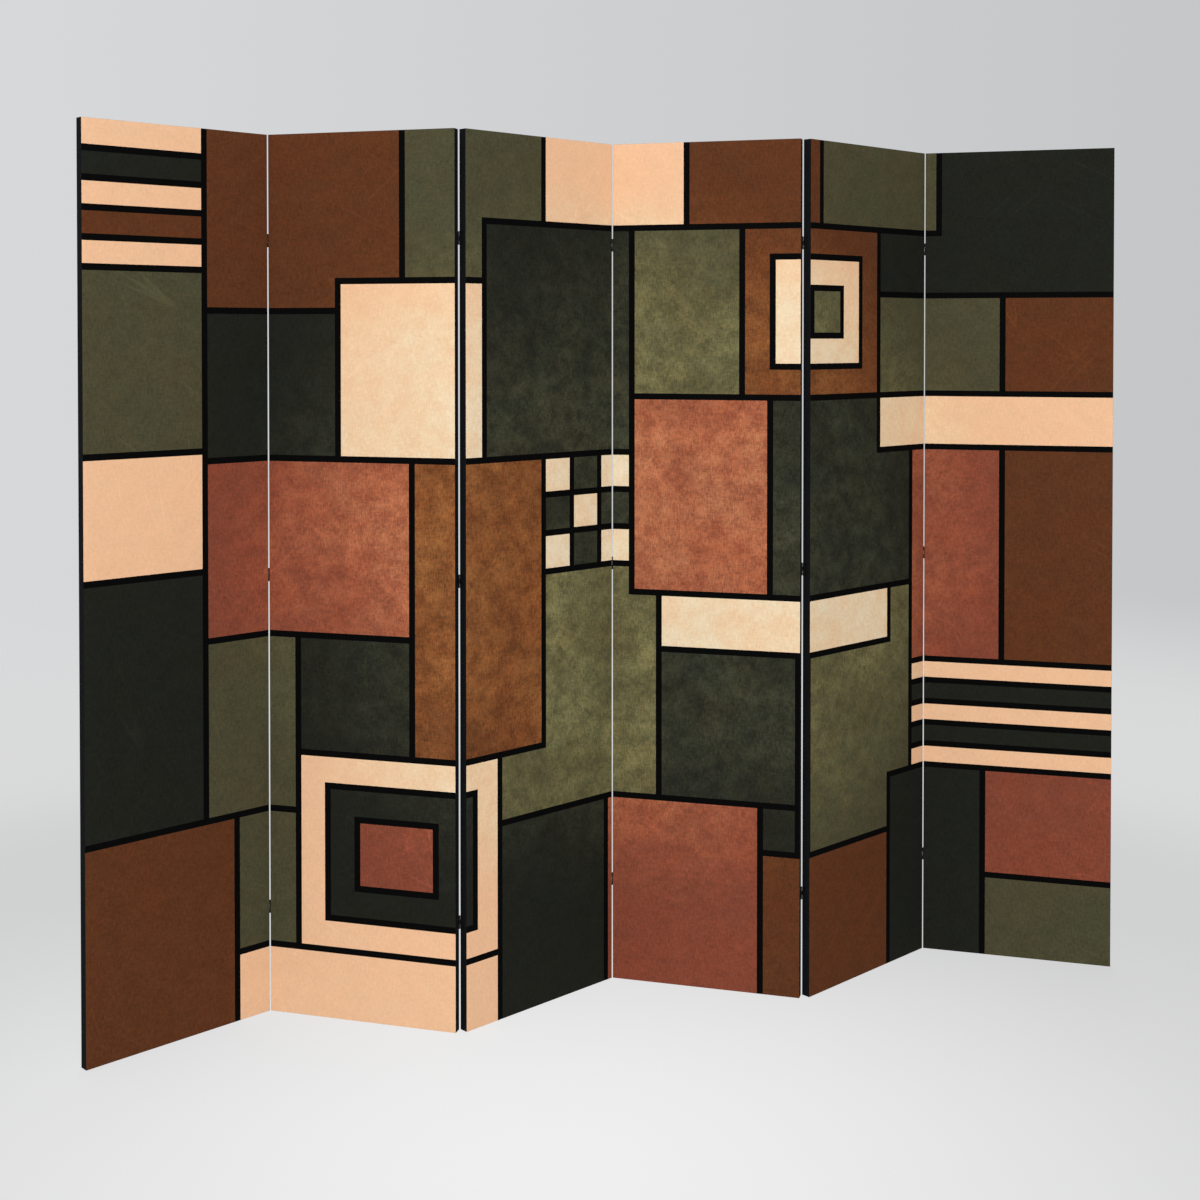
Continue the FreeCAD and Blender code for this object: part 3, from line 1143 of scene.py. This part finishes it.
# A painted pool of light and shade on the floor: its brightest place, and how far from it the
# painted shade is darkest and light again
FLOOR_LIGHT_POOL_MIDDLE = (-0.3, -0.6, 0)
FLOOR_DARKEST_AT = 1.9
FLOOR_LIGHTER_FROM = 2.0
FLOOR_LIGHTER_AT = 3.0
FLOOR_LIGHTER_BY = 0.28
FLOOR_PAINTED_LIT = (0.955, 0.957, 0.96, 1)
FLOOR_PAINTED_SHADE = (0.69, 0.692, 0.695, 1)
FLOOR_GRAIN_SCALE = 3.0
FLOOR_GRAIN = 0.04

# Share of the floor's light that is its own, a painted glow, and its strength where all of it is
FLOOR_PAINTED_GLOW = 0.9
FLOOR_PAINTED_GLOW_STRENGTH = 0.9


def add_floor():
    """A pale floor that fades into the background far from the screen, with a painted pool of
    light and shade and a painted glow of its own.
    """
    bm = bmesh.new()
    bmesh.ops.create_circle(bm, cap_ends=True, segments=FLOOR_SIDES, radius=FLOOR_REACH)
    floor = add_object("floor", mesh_of("floor", bm))
    make = Finish("pale_floor")
    place = make.position()
    far = make.distance(place, (0, 0, 0))
    gone = make.spread(far, FLOOR_SOLID_TO, FLOOR_GONE_AT)
    # Painted pool of light in front of the screen: darker away from it, lighter again further out
    away = make.distance(place, FLOOR_LIGHT_POOL_MIDDLE)
    darker = make.spread(away, 0.0, FLOOR_DARKEST_AT)
    lighter = make.spread(away, FLOOR_LIGHTER_FROM, FLOOR_LIGHTER_AT, 0.0, FLOOR_LIGHTER_BY)
    grain = make.noise(place, FLOOR_GRAIN_SCALE, detail=3.0, roughness=0.5)
    painted_shade = make.number("SUBTRACT", darker, lighter)
    painted_shade = make.number("MULTIPLY_ADD", grain, FLOOR_GRAIN, painted_shade)
    colour = make.mix(painted_shade, FLOOR_PAINTED_LIT, FLOOR_PAINTED_SHADE)
    # Painted glow: most of the floor's light is its own emission, so shadows on it stay faint
    make.finish(
        Base_Color=make.scaled(colour, 1 - FLOOR_PAINTED_GLOW),
        Roughness=0.7,
        Specular_IOR_Level=0.1,
        Emission_Color=colour,
        Emission_Strength=FLOOR_PAINTED_GLOW * FLOOR_PAINTED_GLOW_STRENGTH,
    )
    clear = make.add("BsdfTransparent").outputs[0]
    both = make.add("MixShader", None, {0: gone, 1: make.surface.outputs[0], 2: clear}).outputs[0]
    make.put(make.tree.nodes["Material Output"].inputs["Surface"], both)
    floor.data.materials.append(make.material)


WORLD_COLOUR = (0.985, 0.995, 1.015, 1)
WORLD_LIGHT = 0.63
WORLD_SWING = 0.18
WORLD_LIGHT_SIDE = (-0.97, 0.24, 0)


def add_world():
    """An even pale surround, a little lighter on the left of the view."""
    world = bpy.data.worlds.new("studio")
    world.use_nodes = True
    tree = world.node_tree
    direction = tree.nodes.new("ShaderNodeTexCoord").outputs["Generated"]
    side = tree.nodes.new("ShaderNodeVectorMath")
    side.operation = "DOT_PRODUCT"
    side.inputs[1].default_value = WORLD_LIGHT_SIDE
    tree.links.new(direction, side.inputs[0])
    level = tree.nodes.new("ShaderNodeMath")
    level.operation = "MULTIPLY_ADD"
    level.inputs[1].default_value = WORLD_SWING
    level.inputs[2].default_value = WORLD_LIGHT
    tree.links.new(side.outputs["Value"], level.inputs[0])
    background = tree.nodes["Background"]
    background.inputs["Color"].default_value = WORLD_COLOUR
    tree.links.new(level.outputs[0], background.inputs["Strength"])
    bpy.context.scene.world = world


# Lights, each as (name, place, size, power), all turned to one place on the screen
LIGHTS = (
    ("key_light", (-1.1, -5.2, 3.6), 3.0, 280),
    ("back_light", (1.2, 5.4, 3.4), 4.0, 45),
)
LIT_PLACE = (0, 0, 0.8)


def add_area_light(name, place, size, power):
    """A square light, its size in metres and its power in watts."""
    light = bpy.data.lights.new(name, "AREA")
    light.shape = "SQUARE"
    light.size = size
    light.energy = power
    made = add_object(name, light)
    made.location = place
    aim = Vector(LIT_PLACE) - Vector(place)
    made.rotation_euler = aim.to_track_quat("-Z", "Y").to_euler()


CAMERA_PLACE = (-0.8988, -3.3771, 1.3905)
CAMERA_PITCH = math.radians(1.0)
CAMERA_YAW = math.radians(13.925)
CAMERA_LENS = 50
CAMERA_SENSOR = 36
CAMERA_SHIFT = (0.0041, -0.1963)


def add_camera():
    """The photograph's view: slightly above the middle of the screen, from its left front."""
    camera = bpy.data.cameras.new("camera")
    camera.lens = CAMERA_LENS
    camera.sensor_width = CAMERA_SENSOR
    camera.shift_x, camera.shift_y = CAMERA_SHIFT
    made = add_object("camera", camera)
    made.location = CAMERA_PLACE
    made.rotation_euler = (math.radians(90) - CAMERA_PITCH, 0, -CAMERA_YAW)
    bpy.context.scene.camera = made


# The whole scene

draw_picture()
places = panel_places()
finishes = {"print": printed_canvas(), "cover": black_cover()}
for use, values in METALS.items():
    finishes[use] = dark_metal(*values)
dress_frame(frame["nodes"])
add_panels(places, finishes)
add_folds(places, finishes)
add_floor()
add_world()
for light in LIGHTS:
    add_area_light(*light)
add_camera()
bpy.context.scene.view_settings.view_transform = "Standard"
